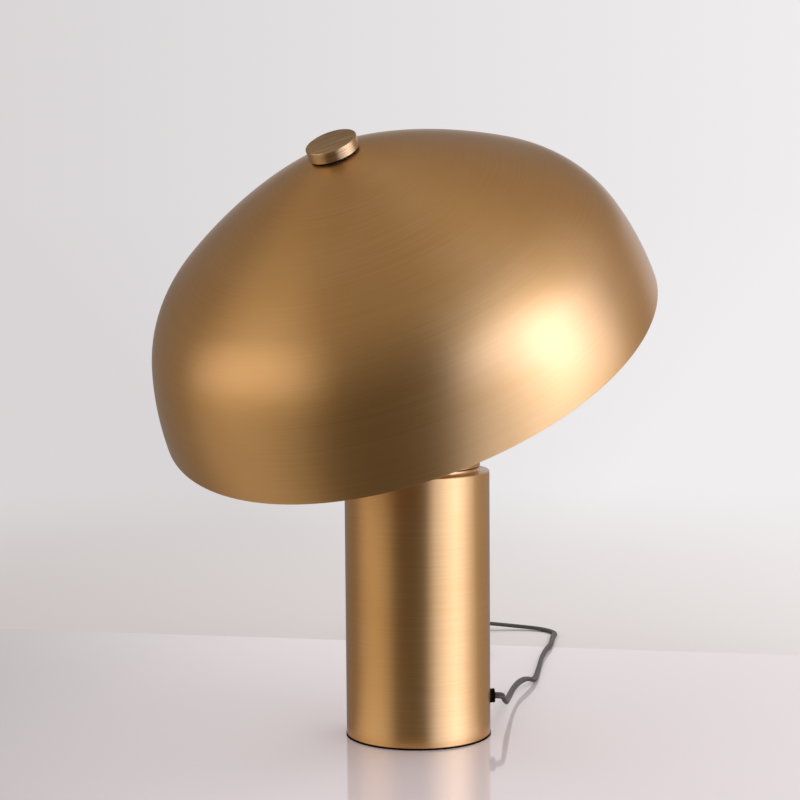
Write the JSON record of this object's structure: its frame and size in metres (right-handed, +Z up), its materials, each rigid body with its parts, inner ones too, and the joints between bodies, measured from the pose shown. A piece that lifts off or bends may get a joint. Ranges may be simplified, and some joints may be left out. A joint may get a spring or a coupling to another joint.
{
  "type": "table lamp",
  "caption": "Table lamp with a cylinder base, a turning head and a tilting metal dome shade held by a crown knob; its lead has an in-line switch and a coil.",
  "frame": {"origin": "on the table, at the middle of the base's foot", "axes": "+Z up; the shade tips towards -Y about the X axis; the lead leaves the base between +X and +Y"},
  "size_m": [0.4294, 0.5279, 0.4181],
  "materials": {
    "satin_brass": "satin brushed and lacquered",
    "zinc_steel": "zinc plated",
    "cast_iron": "as cast, painted",
    "black_rubber": "moulded, matt",
    "black_nylon": "moulded",
    "white_nylon": "moulded",
    "grey_flex": "soft PVC",
    "grey_plastic": "moulded",
    "nickel_pins": "nickel plated",
    "wire_sleeve": "glass fibre sleeve",
    "phenolic": "moulded",
    "ceramic": "glazed",
    "nickel_cap": "nickel plated",
    "opal_glass": "opal"
  },
  "bodies": {
    "base": {"foot_pad": "black_rubber", "bottom_plate": "zinc_steel", "bottom_screws": "zinc_steel", "counterweight": "cast_iron", "weight_screws": "zinc_steel", "base_shell": "satin_brass", "cord_gland": "black_rubber", "gland_nut": "black_nylon", "inner_flex": "grey_flex", "lead_clamp": "black_nylon", "clamp_screws": "zinc_steel", "terminal_block": "white_nylon", "base_lead": "wire_sleeve", "swivel_nipple": "satin_brass", "nipple_locknut": "zinc_steel", "bearing_washer": "black_nylon", "friction_washer": "zinc_steel", "swivel_nut": "zinc_steel", "cord_lead": "grey_flex", "cord_mid": "grey_flex", "cord_coil": "grey_flex", "cord_tail": "grey_flex", "switch_lower": "grey_plastic", "switch_upper": "grey_plastic", "switch_contacts": "zinc_steel", "switch_screws": "zinc_steel", "plug_body": "grey_plastic", "plug_pins": "nickel_pins"},
    "head": {"swivel_plate": "satin_brass", "stem": "satin_brass", "stem_screws": "zinc_steel", "knuckle_fork": "satin_brass", "head_lead": "wire_sleeve", "pivot_bolt": "satin_brass", "pivot_nut": "satin_brass", "knuckle_washers": "black_nylon"},
    "shade": {"knuckle_tongue": "satin_brass", "rod": "satin_brass", "bridge": "satin_brass", "bridge_nuts": "zinc_steel", "shade_lead": "wire_sleeve", "holder_wires": "wire_sleeve", "holder_nipples": "zinc_steel", "seat_washer": "satin_brass", "seat_nut": "zinc_steel", "shade": "satin_brass", "crown_washer": "black_nylon", "holder_cap_left": "phenolic", "holder_shell_left": "phenolic", "holder_insert_left": "ceramic", "bulb_cap_left": "nickel_cap", "bulb_globe_left": "opal_glass", "holder_cap_right": "phenolic", "holder_shell_right": "phenolic", "holder_insert_right": "ceramic", "bulb_cap_right": "nickel_cap", "bulb_globe_right": "opal_glass"},
    "knob": {"crown_knob": "satin_brass"},
    "rocker": {"switch_rocker": "grey_plastic"}
  },
  "joints": [
    {"name": "head_turn", "type": "hinge", "parent": "base", "child": "head", "pos_m": [0, 0, 0.1877], "axis": [0, 0, 1], "range_deg": [-165, 165]},
    {"name": "shade_tilt", "type": "hinge", "parent": "head", "child": "shade", "pos_m": [0, 0, 0.2496], "axis": [1, 0, 0], "range_deg": [-64.5, 5.5]},
    {"name": "knob_turn", "type": "hinge", "parent": "shade", "child": "knob", "pos_m": [0, -0.08795, 0.40505], "axis": [0, -0.4924, 0.8704], "range_deg": [0, 90]},
    {"name": "rocker_press", "type": "hinge", "parent": "base", "child": "rocker", "pos_m": [-0.2136, 0.286, 0.0146], "axis": [-0.6074, 0.7944, 0], "range_deg": [-14, 0]}
  ]
}
